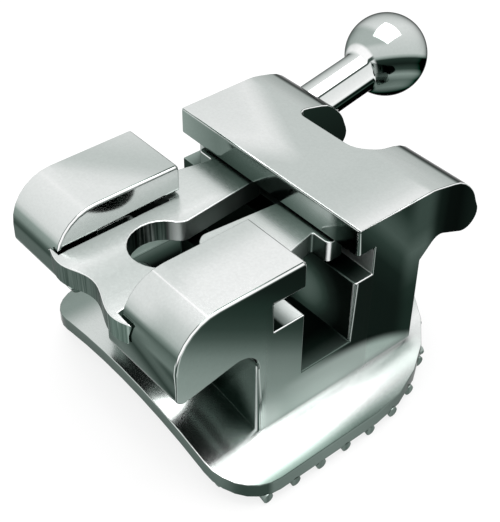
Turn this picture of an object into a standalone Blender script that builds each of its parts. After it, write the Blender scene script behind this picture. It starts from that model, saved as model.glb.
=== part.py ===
"""Self-ligating orthodontic bracket with a sliding clip and a ball hook.

X runs along the archwire slot towards the mesial side, Y across it towards the gingival side with
the hook, and Z out of the tooth. The origin lies under the middle of the slot, in the plane that
the base touches when the bracket stands on a table. Every size is in metres.
"""

import math

import bmesh
import bpy

MM = 0.001

# Archwire slot: the standard size of 0.022 by 0.028 inch, measured under the closed clip.
SLOT_WIDTH = 0.559 * MM
SLOT_DEPTH = 0.711 * MM

# Bracket body.
BODY_WIDTH = 2.31 * MM
BODY_HEIGHT = 1.489 * MM
LEG_FACE = 0.745 * MM
BACK_FACE = 1.068 * MM
EDGE_RADIUS = 0.02 * MM

# Occlusal tie wings: how far they reach from the middle of the slot, and how deep each nose hangs.
WING_REACH = 1.546 * MM
DISTAL_SETBACK = 0.02 * MM
WING_NOSE_RADIUS = 0.42 * MM
MESIAL_TIP_DEPTH = 0.76 * MM
DISTAL_TIP_DEPTH = 0.625 * MM
WING_TIP_RADIUS = 0.075 * MM
WING_ROOT_DEPTH = 0.605 * MM
WING_ROOT_RADIUS = 0.21 * MM

# Gingival tie wing. The tip is the corner that its two faces would meet in without the rounding.
BACK_CREST = 1.13 * MM
BACK_CREST_RADIUS = 0.5 * MM
BACK_SHOULDER = 1.525 * MM
BACK_SHOULDER_DEPTH = 0.085 * MM
BACK_SHOULDER_RADIUS = 0.32 * MM
BACK_TIP = 2.01 * MM
BACK_TIP_DEPTH = 0.845 * MM
BACK_TIP_RADIUS = 0.152 * MM
BACK_DISTAL_SETBACK = 0.06 * MM
BACK_UNDERCUT = 1.258 * MM
BACK_UNDERCUT_DEPTH = 0.529 * MM
BACK_UNDERCUT_RADIUS = 0.12 * MM
BACK_ROOT_DEPTH = 0.718 * MM
NOTCH_DISTAL = 0.43 * MM
NOTCH_MESIAL = 0.43 * MM
NOTCH_DISTAL_RADIUS = 0.09 * MM
NOTCH_MESIAL_RADIUS = 0.24 * MM
NOTCH_FACE = 1.045 * MM

# Clip guides in the body.
GUIDE_DEPTH = 0.265 * MM
GUIDE_HEIGHT = 0.285 * MM
OCCLUSAL_GUIDE = 0.318 * MM
GINGIVAL_GUIDE = 0.195 * MM
ARM_POCKET_END = 1.125 * MM
VALLEY_HALF = 0.265 * MM
VALLEY_END = 0.43 * MM

# Sliding clip.
CLIP_THICKNESS = 0.21 * MM
CLIP_DROP = 0.020 * MM
CLIP_NECK_HALF = 0.43 * MM
CLIP_SIDE_CLEARANCE = 0.028 * MM
CLIP_ARM_HALF = 0.735 * MM
CLIP_ARM_END_HALF = 0.665 * MM
CLIP_ARM_START = 0.40 * MM
CLIP_HEAD_START = 0.235 * MM
CLIP_HEAD_END = 0.41 * MM
CLIP_HEAD_HALF = 0.86 * MM
CLIP_HEAD_CORNER = 0.05 * MM
CLIP_GAP_HALF = 0.19 * MM
CLIP_THROAT_HALF = 0.108 * MM
CLIP_THROAT = 0.49 * MM
CLIP_THROAT_RADIUS = 0.10 * MM
KEYHOLE_CENTRE = 0.80 * MM
KEYHOLE_RADIUS = 0.295 * MM

# Scalloped tail of the clip. Its middle lies behind the wings' reach, and its ears curl out past it,
# each to a crest and back to a tip that lies against the wing's nose.
CLIP_TAIL_SETBACK = 0.056 * MM
MESIAL_EAR_PAST = 0.059 * MM
MESIAL_EAR_CREST = 0.42 * MM
MESIAL_EAR_TIP = 0.62 * MM
DISTAL_EAR_PAST = 0.032 * MM
DISTAL_EAR_CREST = 0.37 * MM
DISTAL_EAR_TIP = 0.55 * MM
CLIP_EAR_ROOT = 0.086 * MM
CLIP_EAR_CLEARANCE = 0.012 * MM
CLIP_BEND = 0.16 * MM
CLIP_BEND_DROP = 0.018 * MM

# Base pad and bonding mesh.
PAD_MESIAL = 1.572 * MM
PAD_DISTAL = 1.455 * MM
PAD_OCCLUSAL_MESIAL = 1.305 * MM
PAD_OCCLUSAL_DISTAL = 1.215 * MM
PAD_GINGIVAL = 1.60 * MM
PAD_OCCLUSAL_RADIUS = 0.45 * MM
PAD_GINGIVAL_RADIUS = 1.333 * MM
PAD_ARCH_RADIUS = 5.0 * MM
PAD_THICKNESS = 0.14 * MM
WIRE_PITCH = 0.29 * MM
WIRE_RADIUS = 0.056 * MM
WIRE_DEPTH = 0.070 * MM
WIRE_WAVE = 0.014 * MM
WIRE_FIRST_ROW = -0.97 * MM
WIRE_ROWS = 9

# Ball hook.
HOOK_TILT = math.radians(11.1)
HOOK_Y = 1.665 * MM
HOOK_DEPTH = 0.296 * MM
HOOK_SEAT = 0.16 * MM
HOOK_BALL_RADIUS = 0.41 * MM
HOOK_POST_RADIUS = 0.205 * MM
HOOK_LENGTH = 0.897 * MM
SPIGOT_RADIUS = 0.11 * MM
SPIGOT_LENGTH = 0.39 * MM

# Clearance between pieces that are brazed or welded together.
JOINT_GAP = 0.010 * MM

# Lengths that follow from the sizes above.
ARC_STEP = math.radians(13)
ROUND_SEGMENTS = 28
PAST = 0.30 * MM
HALF_SLOT = SLOT_WIDTH / 2
HALF_BODY = BODY_WIDTH / 2
PAD_CENTRE = (PAD_MESIAL - PAD_DISTAL) / 2
PAD_HALF = (PAD_MESIAL + PAD_DISTAL) / 2
WIRE_COLUMNS = int((PAD_HALF - WIRE_RADIUS) / WIRE_PITCH)
PAD_EDGE_DROP = PAD_ARCH_RADIUS - math.sqrt(PAD_ARCH_RADIUS**2 - PAD_HALF**2)
PAD_CROWN = WIRE_DEPTH + WIRE_WAVE + JOINT_GAP + PAD_THICKNESS + PAD_EDGE_DROP
BODY_TOP = PAD_CROWN + JOINT_GAP + BODY_HEIGHT
GUIDE_TOP = BODY_TOP - GUIDE_DEPTH
GUIDE_FLOOR = GUIDE_TOP - GUIDE_HEIGHT
CLIP_TOP = GUIDE_TOP - CLIP_DROP
CLIP_UNDERSIDE = CLIP_TOP - CLIP_THICKNESS
SLOT_FLOOR = CLIP_UNDERSIDE - SLOT_DEPTH
BODY_FOOT = -PAST
NECK_GAP_HALF = CLIP_NECK_HALF + CLIP_SIDE_CLEARANCE
ARM_POCKET_HALF = CLIP_ARM_HALF + CLIP_SIDE_CLEARANCE
CLIP_TAIL = WING_REACH - CLIP_TAIL_SETBACK
CLIP_EAR_REACH = WING_REACH + MESIAL_EAR_PAST
HOOK_X = -(HALF_BODY + NOTCH_DISTAL) / 2


def remove_startup_objects():
    for obj in list(bpy.data.objects):
        bpy.data.objects.remove(obj)


def material(name, colour, roughness):
    """Polished or satin steel: a metallic Principled surface."""
    made = bpy.data.materials.new(name)
    made.use_nodes = True
    shader = made.node_tree.nodes["Principled BSDF"]
    shader.inputs["Base Color"].default_value = (*colour, 1.0)
    shader.inputs["Metallic"].default_value = 1.0
    shader.inputs["Roughness"].default_value = roughness
    made.diffuse_color = (*colour, 1.0)
    return made


def rounded(corners):
    """Closed outline through (u, v, radius) corners, each turned into an arc tangent to its sides."""
    points = []
    for i, (u, v, radius) in enumerate(corners):
        back_u, back_v = corners[i - 1][0] - u, corners[i - 1][1] - v
        next_u, next_v = corners[(i + 1) % len(corners)][:2]
        next_u, next_v = next_u - u, next_v - v
        if radius == 0:
            points.append((u, v))
            continue
        toward_back = math.atan2(back_v, back_u)
        toward_next = math.atan2(next_v, next_u)
        spread = math.remainder(toward_next - toward_back, math.tau)
        half = abs(spread) / 2
        middle = toward_back + spread / 2
        centre_u = u + radius / math.sin(half) * math.cos(middle)
        centre_v = v + radius / math.sin(half) * math.sin(middle)
        turn = math.copysign(math.pi - 2 * half, -spread)
        start = toward_back - math.copysign(math.pi / 2, spread)
        steps = max(2, round(abs(turn) / ARC_STEP))
        for k in range(steps + 1):
            angle = start + turn * k / steps
            points.append((centre_u + radius * math.cos(angle), centre_v + radius * math.sin(angle)))
    return points


def arc(centre_u, centre_v, radius, first, last):
    """Points of an arc from one angle to another, both ends included."""
    steps = max(2, round(abs(last - first) / ARC_STEP))
    angles = [first + (last - first) * k / steps for k in range(steps + 1)]
    return [(centre_u + radius * math.cos(a), centre_v + radius * math.sin(a)) for a in angles]


def object_of(name, mesh_builder):
    mesh = bpy.data.meshes.new(name)
    bmesh.ops.recalc_face_normals(mesh_builder, faces=mesh_builder.faces)
    mesh_builder.to_mesh(mesh)
    mesh_builder.free()
    obj = bpy.data.objects.new(name, mesh)
    bpy.context.scene.collection.objects.link(obj)
    return obj


def prism(name, outline, axis, low, high):
    """The outline pushed along one axis. It lies in YZ for axis X, XZ for axis Y and XY for axis Z."""
    place = {
        "X": lambda u, v: (low, u, v),
        "Y": lambda u, v: (u, low, v),
        "Z": lambda u, v: (u, v, low),
    }[axis]
    push = {"X": (high - low, 0, 0), "Y": (0, high - low, 0), "Z": (0, 0, high - low)}[axis]
    bm = bmesh.new()
    base = bm.faces.new([bm.verts.new(place(u, v)) for u, v in outline])
    grown = bmesh.ops.extrude_face_region(bm, geom=[base], use_keep_orig=True)
    moved = [item for item in grown["geom"] if isinstance(item, bmesh.types.BMVert)]
    bmesh.ops.translate(bm, vec=push, verts=moved)
    return object_of(name, bm)


def block(name, x_range, y_range, z_range):
    """A box between the given limits."""
    corners = [(x, y) for x, y in zip(
        (x_range[0], x_range[1], x_range[1], x_range[0]),
        (y_range[0], y_range[0], y_range[1], y_range[1]),
    )]
    return prism(name, corners, "Z", *z_range)


def turned(name, profile):
    """A round piece about its own Z axis. The profile's ends lie on the axis."""
    bm = bmesh.new()
    rings = []
    for radius, height in profile:
        if radius == 0:
            rings.append([bm.verts.new((0, 0, height))])
            continue
        angles = [math.tau * k / ROUND_SEGMENTS for k in range(ROUND_SEGMENTS)]
        rings.append([bm.verts.new((radius * math.cos(a), radius * math.sin(a), height)) for a in angles])
    for lower, upper in zip(rings, rings[1:]):
        for k in range(ROUND_SEGMENTS):
            after = (k + 1) % ROUND_SEGMENTS
            if len(lower) == 1:
                bm.faces.new((lower[0], upper[k], upper[after]))
            elif len(upper) == 1:
                bm.faces.new((lower[k], lower[after], upper[0]))
            else:
                bm.faces.new((lower[k], lower[after], upper[after], upper[k]))
    made = object_of(name, bm)
    made.data.shade_smooth()
    made.data.set_sharp_from_angle(angle=math.radians(35))
    return made


def combine(target, other, operation, solver="EXACT"):
    """Adds a Boolean and keeps the other shape as a hidden wire guide."""
    modifier = target.modifiers.new(other.name, "BOOLEAN")
    modifier.operation = operation
    modifier.solver = solver
    modifier.object = other
    other.hide_render = True
    other.display_type = "WIRE"


def arch_points(height):
    """Points of the base arch in XZ, left to right, its crown at the given height."""
    radius = PAD_ARCH_RADIUS + height - PAD_CROWN
    centre = PAD_CROWN - PAD_ARCH_RADIUS
    columns = range(-WIRE_COLUMNS - 2, WIRE_COLUMNS + 2)
    offsets = [(k + 0.5) * WIRE_PITCH for k in columns]
    return [(PAD_CENTRE + dx, centre + math.sqrt(radius**2 - dx**2)) for dx in offsets]


def arch_height(x, height):
    """Height of the faceted base arch at x, its crown at the given height."""
    points = arch_points(height)
    for (left, left_z), (right, right_z) in zip(points, points[1:]):
        if left <= x <= right:
            return left_z + (right_z - left_z) * (x - left) / (right - left)
    return points[0][1]


def body_profile(tip_depth, setback, back_setback):
    """Side view of the body in YZ: wings, undercuts, slot and the two clip guides that face it."""
    nose = setback - WING_REACH
    return rounded([
        (-HALF_SLOT, BODY_TOP, EDGE_RADIUS),
        (nose, BODY_TOP, WING_NOSE_RADIUS),
        (nose - EDGE_RADIUS / 2, BODY_TOP - tip_depth, WING_TIP_RADIUS),
        (-LEG_FACE, BODY_TOP - WING_ROOT_DEPTH, WING_ROOT_RADIUS),
        (-LEG_FACE, BODY_FOOT, 0),
        (BACK_FACE, BODY_FOOT, 0),
        (BACK_FACE, BODY_TOP - BACK_ROOT_DEPTH, 0),
        (BACK_UNDERCUT, BODY_TOP - BACK_UNDERCUT_DEPTH, BACK_UNDERCUT_RADIUS),
        (BACK_TIP - back_setback, BODY_TOP - BACK_TIP_DEPTH, BACK_TIP_RADIUS),
        (BACK_SHOULDER - back_setback, BODY_TOP - BACK_SHOULDER_DEPTH, BACK_SHOULDER_RADIUS),
        (BACK_CREST, BODY_TOP, BACK_CREST_RADIUS),
        (HALF_SLOT, BODY_TOP, EDGE_RADIUS),
        (HALF_SLOT, GUIDE_TOP, 0),
        (HALF_SLOT + GINGIVAL_GUIDE, GUIDE_TOP, 0),
        (HALF_SLOT + GINGIVAL_GUIDE, GUIDE_FLOOR, 0),
        (HALF_SLOT, GUIDE_FLOOR, 0),
        (HALF_SLOT, SLOT_FLOOR, 0),
        (-HALF_SLOT, SLOT_FLOOR, 0),
        (-HALF_SLOT, GUIDE_FLOOR, 0),
        (-HALF_SLOT - OCCLUSAL_GUIDE, GUIDE_FLOOR, 0),
        (-HALF_SLOT - OCCLUSAL_GUIDE, GUIDE_TOP, 0),
        (-HALF_SLOT, GUIDE_TOP, 0),
    ])


def below_arch(name, height):
    """Everything under the base arch, as a guide for cutting feet to it."""
    points = arch_points(height)
    outline = points + [(points[-1][0], -PAST * 2), (points[0][0], -PAST * 2)]
    return prism(name, outline, "Y", -WING_REACH - PAST, BACK_TIP + PAST)


def bracket_body(steel):
    """Cast body: two occlusal tie wings over a clip channel, the slot, and one gingival wing."""
    inner = VALLEY_HALF / 2
    body = prism("bracket_body", body_profile(MESIAL_TIP_DEPTH, 0, 0), "X", -inner, HALF_BODY)
    distal_outline = body_profile(DISTAL_TIP_DEPTH, DISTAL_SETBACK, BACK_DISTAL_SETBACK)
    distal = prism("distal_half", distal_outline, "X", -HALF_BODY, inner)
    combine(body, distal, "UNION")
    front = -WING_REACH - PAST
    over = BODY_TOP + PAST
    neck = (-NECK_GAP_HALF, NECK_GAP_HALF)
    pocket = (-ARM_POCKET_HALF, ARM_POCKET_HALF)
    valley = (-VALLEY_HALF, VALLEY_HALF)
    combine(body, block("channel_cutter", neck, (front, -HALF_SLOT / 2), (GUIDE_FLOOR, over)), "DIFFERENCE")
    arms = block("arm_pocket_cutter", pocket, (-ARM_POCKET_END, -HALF_SLOT / 2), (GUIDE_FLOOR, GUIDE_TOP))
    combine(body, arms, "DIFFERENCE")
    legs = block("valley_cutter", valley, (front, -VALLEY_END), (BODY_FOOT - PAST, GUIDE_FLOOR + JOINT_GAP))
    combine(body, legs, "DIFFERENCE")
    notch = rounded([
        (-NOTCH_DISTAL, NOTCH_FACE, NOTCH_DISTAL_RADIUS),
        (NOTCH_MESIAL, NOTCH_FACE, NOTCH_MESIAL_RADIUS),
        (NOTCH_MESIAL, BACK_TIP + PAST, 0),
        (-NOTCH_DISTAL, BACK_TIP + PAST, 0),
    ])
    lobes = prism("notch_cutter", notch, "Z", BODY_TOP - BACK_ROOT_DEPTH - JOINT_GAP, over)
    combine(body, lobes, "DIFFERENCE")
    combine(body, below_arch("foot_cutter", PAD_CROWN + JOINT_GAP), "DIFFERENCE")
    seat = turned("hook_seat_cutter", [
        (0, -HOOK_SEAT - SPIGOT_LENGTH - JOINT_GAP),
        (SPIGOT_RADIUS + JOINT_GAP, -HOOK_SEAT - SPIGOT_LENGTH - JOINT_GAP),
        (SPIGOT_RADIUS + JOINT_GAP, -HOOK_SEAT - JOINT_GAP),
        (HOOK_POST_RADIUS + JOINT_GAP, -HOOK_SEAT - JOINT_GAP),
        (HOOK_POST_RADIUS + JOINT_GAP, HOOK_LENGTH),
        (0, HOOK_LENGTH),
    ])
    place_on_hook_axis(seat)
    combine(body, seat, "DIFFERENCE")
    body.data.materials.append(steel)
    return body


def place_on_hook_axis(obj):
    """Turns the piece's own Z axis to the hook's, which rises from +Y by the hook's tilt."""
    obj.location = (HOOK_X, HOOK_Y, BODY_TOP - HOOK_DEPTH)
    obj.rotation_euler = (HOOK_TILT - math.pi / 2, 0, 0)


def ball_hook(steel):
    """Turned pin: a spigot in the body's blind bore, a post and a ball."""
    reach = math.asin(HOOK_POST_RADIUS / HOOK_BALL_RADIUS)
    ball = arc(0, HOOK_LENGTH, HOOK_BALL_RADIUS, reach - math.pi / 2, math.pi / 2)
    pin = turned("ball_hook", [
        (0, -HOOK_SEAT - SPIGOT_LENGTH),
        (SPIGOT_RADIUS, -HOOK_SEAT - SPIGOT_LENGTH),
        (SPIGOT_RADIUS, -HOOK_SEAT),
        (HOOK_POST_RADIUS, -HOOK_SEAT),
        *ball[:-1],
        (0, HOOK_LENGTH + HOOK_BALL_RADIUS),
    ])
    place_on_hook_axis(pin)
    pin.data.materials.append(steel)
    return pin


def clip_half_outline(ear_past, ear_crest, ear_tip):
    """Half of the clip in plan, from the middle of the tail to the keyhole: a cosine wave from the
    tail's middle over the ear's crest to its tip, then the neck, the arm and the head."""
    root = CLIP_EAR_ROOT - WING_REACH
    tangent = KEYHOLE_RADIUS * math.sqrt(0.5) - JOINT_GAP
    swing = (CLIP_TAIL_SETBACK + ear_past) / 2
    steps = 12
    scallop = []
    for k in range(steps + 1):
        x = ear_tip * k / steps
        scallop.append((x, -CLIP_TAIL - swing * (1 - math.cos(math.pi * x / ear_crest))))
    rest = rounded([
        (ear_tip, -CLIP_EAR_REACH, 0),
        (ear_tip, root, 0),
        (CLIP_NECK_HALF, root, 0),
        (CLIP_NECK_HALF, -CLIP_ARM_START, 0.03 * MM),
        (CLIP_ARM_HALF, -CLIP_ARM_START, 0.05 * MM),
        (CLIP_ARM_HALF, -HALF_SLOT / 4, 0),
        (CLIP_ARM_END_HALF, CLIP_HEAD_START, 0.02 * MM),
        (CLIP_HEAD_HALF, CLIP_HEAD_START, CLIP_HEAD_CORNER),
        (CLIP_HEAD_HALF, CLIP_HEAD_END, 0.03 * MM),
        (CLIP_GAP_HALF, CLIP_HEAD_END, 0.02 * MM),
        (CLIP_THROAT_HALF, -CLIP_THROAT, CLIP_THROAT_RADIUS),
        (tangent, tangent - KEYHOLE_CENTRE, 0),
    ])
    return scallop + rest[1:]


def nose_cutter(name, setback, tip_depth, x_range):
    """A wing's nose grown by the ear clearance, as a guide for fitting the ear against it."""
    nose = setback - WING_REACH - CLIP_EAR_CLEARANCE
    inside = -WING_REACH + WING_NOSE_RADIUS + EDGE_RADIUS
    outline = rounded([
        (inside, BODY_TOP + CLIP_EAR_CLEARANCE, 0),
        (nose, BODY_TOP + CLIP_EAR_CLEARANCE, WING_NOSE_RADIUS + CLIP_EAR_CLEARANCE),
        (nose - EDGE_RADIUS / 2, BODY_TOP - tip_depth, 0),
        (inside, BODY_TOP - tip_depth, 0),
    ])
    return prism(name, outline, "X", *x_range)


def sliding_clip(steel):
    """Sheet clip: a bent tail with ears, a neck, a keyhole, and two arms that end in a T-head."""
    mesial = clip_half_outline(MESIAL_EAR_PAST, MESIAL_EAR_CREST, MESIAL_EAR_TIP)
    distal = clip_half_outline(DISTAL_EAR_PAST, DISTAL_EAR_CREST, DISTAL_EAR_TIP)
    outline = mesial + [(-x, y) for x, y in reversed(distal[1:])]
    low, high = CLIP_UNDERSIDE - PAST, CLIP_TOP + PAST
    clip = prism("sliding_clip", outline, "Z", low, high)
    circle = arc(0, -KEYHOLE_CENTRE, KEYHOLE_RADIUS, 0, math.tau)[:-1]
    combine(clip, prism("keyhole_cutter", circle, "Z", low - PAST, high + PAST), "DIFFERENCE")
    bend = [
        (-CLIP_EAR_REACH - PAST, 1.0),
        (-CLIP_EAR_REACH, 1.0),
        (-CLIP_EAR_REACH + CLIP_BEND / 2, 0.36),
        (-CLIP_EAR_REACH + CLIP_BEND, 0.0),
        (CLIP_HEAD_END + PAST, 0.0),
    ]
    upper = [(y, CLIP_TOP - CLIP_BEND_DROP * share) for y, share in bend]
    lower = [(y, CLIP_UNDERSIDE - CLIP_BEND_DROP * share) for y, share in reversed(bend)]
    sheet = prism("clip_sheet_guide", upper + lower, "X", -CLIP_HEAD_HALF - PAST, CLIP_HEAD_HALF + PAST)
    combine(clip, sheet, "INTERSECT")
    mesial_side, distal_side = (CLIP_NECK_HALF, HALF_BODY), (-HALF_BODY, -CLIP_NECK_HALF)
    combine(clip, nose_cutter("mesial_nose_cutter", 0, MESIAL_TIP_DEPTH, mesial_side), "DIFFERENCE")
    combine(clip, nose_cutter("distal_nose_cutter", DISTAL_SETBACK, DISTAL_TIP_DEPTH, distal_side), "DIFFERENCE")
    clip.data.materials.append(steel)
    return clip


def pad_outline():
    """The base in plan: small corners on the occlusal side, a wide round end on the gingival side."""
    return rounded([
        (-PAD_DISTAL, -PAD_OCCLUSAL_DISTAL, PAD_OCCLUSAL_RADIUS),
        (PAD_MESIAL, -PAD_OCCLUSAL_MESIAL, PAD_OCCLUSAL_RADIUS),
        (PAD_MESIAL, PAD_GINGIVAL, PAD_GINGIVAL_RADIUS),
        (-PAD_DISTAL, PAD_GINGIVAL, PAD_GINGIVAL_RADIUS),
    ])


def base_pad(steel):
    """Foil pad arched to the tooth."""
    band = arch_points(PAD_CROWN) + list(reversed(arch_points(PAD_CROWN - PAD_THICKNESS)))
    pad = prism("base_pad", band, "Y", -PAD_GINGIVAL - PAST, PAD_GINGIVAL + PAST)
    plan = prism("pad_plan_guide", pad_outline(), "Z", -PAST, BODY_TOP)
    combine(pad, plan, "INTERSECT")
    pad.data.materials.append(steel)
    return pad


def wire(bm, stations, along):
    """One mesh wire: a flat-topped half-round section led through (x, y, top, depth) stations."""
    turns = [math.pi * k / 5 for k in range(6)]
    rings = []
    for x, y, top, depth in stations:
        ring = []
        for angle in turns:
            side = WIRE_RADIUS * math.cos(angle)
            down = top - depth * math.sin(angle)
            place = (x, y + side, down) if along == "X" else (x + side, y, down)
            ring.append(bm.verts.new(place))
        rings.append(ring)
    for first, second in zip(rings, rings[1:]):
        for k in range(len(turns)):
            after = (k + 1) % len(turns)
            bm.faces.new((first[k], first[after], second[after], second[k]))
    bm.faces.new(rings[0])
    bm.faces.new(rings[-1])


def mesh_rows():
    return [WIRE_FIRST_ROW + k * WIRE_PITCH for k in range(WIRE_ROWS)]


def mesh_columns():
    return [PAD_CENTRE + k * WIRE_PITCH for k in range(-WIRE_COLUMNS, WIRE_COLUMNS + 1)]


def bonding_mesh(steel):
    """Woven wire mesh under the pad, trimmed flush with the pad's outline."""
    top = PAD_CROWN - PAD_THICKNESS - JOINT_GAP
    rows, columns = mesh_rows(), mesh_columns()
    across = bmesh.new()
    for i, y in enumerate(rows):
        stations = []
        for x, _ in arch_points(top):
            stations.append((x, y, arch_height(x, top), WIRE_DEPTH))
        for j, x in enumerate(columns):
            depth = WIRE_DEPTH + WIRE_WAVE * (1 if (i + j) % 2 else -1)
            stations.append((x, y, arch_height(x, top), depth))
        wire(across, sorted(stations), "X")
    mesh = object_of("bonding_mesh", across)
    along = bmesh.new()
    for j, x in enumerate(columns):
        start, end = rows[0] - WIRE_PITCH * 2, rows[-1] + WIRE_PITCH * 2
        height = arch_height(x, top) - JOINT_GAP / 2
        stations = [(x, start, height, WIRE_DEPTH), (x, end, height, WIRE_DEPTH)]
        for i, y in enumerate(rows):
            depth = WIRE_DEPTH + WIRE_WAVE * (-1 if (i + j) % 2 else 1)
            stations.append((x, y, height, depth))
            stations.append((x, y + WIRE_PITCH / 2, height, WIRE_DEPTH))
        wire(along, sorted(stations), "Y")
    combine(mesh, object_of("mesh_columns_guide", along), "UNION", "MANIFOLD")
    combine(mesh, prism("mesh_plan_guide", pad_outline(), "Z", -PAST, BODY_TOP), "INTERSECT")
    mesh.data.materials.append(steel)
    return mesh


def set_origin(obj, point):
    """Moves the origin to the point and leaves the shape where it is."""
    for vertex in obj.data.vertices:
        vertex.co = [a - b for a, b in zip(vertex.co, point)]
    obj.location = point


def build():
    remove_startup_objects()
    polished = material("polished_steel", (0.72, 0.75, 0.73), 0.12)
    mirror = material("mirror_steel", (0.80, 0.82, 0.81), 0.05)
    satin = material("satin_steel", (0.62, 0.66, 0.64), 0.28)
    bracket_body(polished)
    clip = sliding_clip(polished)
    set_origin(clip, (0, 0, CLIP_UNDERSIDE + CLIP_THICKNESS / 2))
    ball_hook(mirror)
    base_pad(polished)
    bonding_mesh(satin)


build()
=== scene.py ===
import math

import bmesh
import bpy
import numpy as np
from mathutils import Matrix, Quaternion, Vector
from mathutils.bvhtree import BVHTree


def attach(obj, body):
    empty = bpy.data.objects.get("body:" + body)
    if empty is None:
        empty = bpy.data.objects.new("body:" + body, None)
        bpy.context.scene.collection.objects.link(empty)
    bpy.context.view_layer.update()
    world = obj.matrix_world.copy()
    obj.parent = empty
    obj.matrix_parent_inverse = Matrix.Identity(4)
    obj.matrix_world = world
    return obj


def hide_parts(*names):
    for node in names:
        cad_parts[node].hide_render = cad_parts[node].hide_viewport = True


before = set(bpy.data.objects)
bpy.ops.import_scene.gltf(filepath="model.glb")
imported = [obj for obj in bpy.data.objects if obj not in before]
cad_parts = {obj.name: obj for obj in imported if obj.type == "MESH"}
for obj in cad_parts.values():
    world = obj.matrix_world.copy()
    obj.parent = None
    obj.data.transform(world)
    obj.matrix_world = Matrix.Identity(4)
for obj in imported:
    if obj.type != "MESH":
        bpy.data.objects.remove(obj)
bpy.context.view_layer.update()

# Base pad
# Foil pad, pressed to the tooth's arch and tumble polished, then brazed under the body.
# Its upper side is a mirror whose reflections are painted into its colour: brightest along the mesial
# strip and greyer where the arch turns down.

MM = 0.001


def linear_steel(level):
    """The colour of polished steel at a grey level of 0 to 255, a level of painted light, shade or
    reflection: a green cast in the painted shadows that fades towards white."""
    cast = 14.0 * min(1.0, max(0.0, (256.0 - level) / 110.0))
    cast = min(cast, 0.32 * level)
    display = np.array([level - cast, level, level - 0.42 * cast]) / 255.0
    return np.where(display <= 0.04045, display / 12.92, ((display + 0.055) / 1.055) ** 2.4)


DOUBLE = 0.0004 * MM


def merged_copy(node, name, reshape=None, sliver=0.0125 * MM):
    """A copy of a CAD node's mesh with doubles merged, flat faces joined and slivers closed up, after
    an optional change of its shape."""
    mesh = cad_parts[node].data.copy()
    mesh.name = name
    mesh.materials.clear()
    bm = bmesh.new()
    bm.from_mesh(mesh)
    bmesh.ops.remove_doubles(bm, verts=bm.verts, dist=DOUBLE)
    if reshape:
        reshape(bm)
    bmesh.ops.dissolve_limit(bm, angle_limit=math.radians(1.0), verts=bm.verts, edges=bm.edges)
    bmesh.ops.remove_doubles(bm, verts=bm.verts, dist=sliver)
    bmesh.ops.dissolve_degenerate(bm, dist=DOUBLE, edges=bm.edges)
    bm.to_mesh(mesh)
    bm.free()
    if mesh.has_custom_normals:
        mesh.attributes.remove(mesh.attributes["custom_normal"])
    piece = bpy.data.objects.new(name, mesh)
    bpy.context.scene.collection.objects.link(piece)
    return piece


ROUNDED_FROM = math.radians(30.0)
SHARP_FROM = math.radians(50.0)
SPIKE = 0.018 * MM


def soften_edges(piece, width, segments, broad=None, broad_width=0.0):
    """Rounds every edge of more than 30 degrees to the width. broad(middle, direction) in millimetres
    gives the share of the broad width that an edge gets first."""
    mesh = piece.data
    if broad:
        share = mesh.attributes.new("bevel_weight_edge", "FLOAT", "EDGE")
        points = np.empty(len(mesh.vertices) * 3)
        mesh.vertices.foreach_get("co", points)
        ends = np.empty(len(mesh.edges) * 2, dtype=int)
        mesh.edges.foreach_get("vertices", ends)
        pairs = points.reshape(-1, 3)[ends.reshape(-1, 2)] / MM
        shares = [broad(first / 2 + second / 2, np.abs(second - first)) for first, second in pairs]
        share.data.foreach_set("value", shares)
    for limit, size in (("WEIGHT", broad_width), ("ANGLE", width)):
        if limit == "WEIGHT" and not broad:
            continue
        rounding = piece.modifiers.new("rounding", "BEVEL")
        rounding.width = size
        rounding.segments = segments
        rounding.limit_method = limit
        rounding.angle_limit = ROUNDED_FROM
        rounding.use_clamp_overlap = False
        rounding.harden_normals = True
    mesh.shade_smooth()
    mesh.set_sharp_from_angle(angle=SHARP_FROM)
    settle_spikes(piece)


def settle_spikes(piece):
    """Makes the rounding part of the mesh, and lays each point that it threw clear of the old surface
    back on it."""
    mesh = piece.data
    surface = BVHTree.FromPolygons([v.co for v in mesh.vertices], [p.vertices[:] for p in mesh.polygons])
    state = bpy.context.evaluated_depsgraph_get()
    rounded = bpy.data.meshes.new_from_object(piece.evaluated_get(state), depsgraph=state)
    for vertex in rounded.vertices:
        spot, _, _, distance = surface.find_nearest(vertex.co)
        if distance > SPIKE:
            vertex.co = spot
    piece.modifiers.clear()
    piece.data = rounded
    rounded.name = piece.name


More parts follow.
